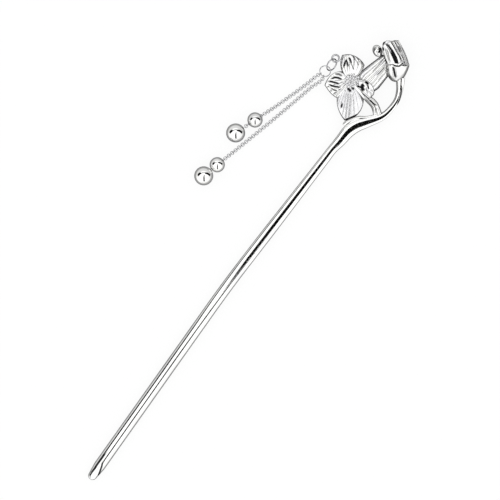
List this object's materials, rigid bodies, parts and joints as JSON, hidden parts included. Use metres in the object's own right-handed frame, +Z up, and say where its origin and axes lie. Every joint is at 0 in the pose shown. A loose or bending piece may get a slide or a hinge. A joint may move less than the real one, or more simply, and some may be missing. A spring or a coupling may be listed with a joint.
{
  "type": "hair stick",
  "caption": "Polished silver hair stick with a round shaft, an open flower and a half open one on a sweeping neck, and fine chains that end in round beads.",
  "frame": {"origin": "on the axis of the round shaft, at the upper end of its straight stretch", "axes": "+X along the straight shaft from its tip towards the flowers, +Z up from the surface that the stick lies on, which is the side that the picture shows"},
  "size_m": [0.1688, 0.04, 0.0075],
  "materials": {
    "cast_silver": "bright polished silver",
    "wire_silver": "polished silver wire",
    "chain_silver": "polished silver links",
    "bead_silver": "bright polished silver"
  },
  "bodies": {
    "root": {"stick": "cast_silver", "jump_ring": "wire_silver", "chain_ring": "wire_silver", "short_chain": "chain_silver", "long_chain": "chain_silver", "short_chain_small_bead": "bead_silver", "short_chain_large_bead": "bead_silver", "long_chain_small_bead": "bead_silver", "long_chain_large_bead": "bead_silver"}
  },
  "joints": []
}
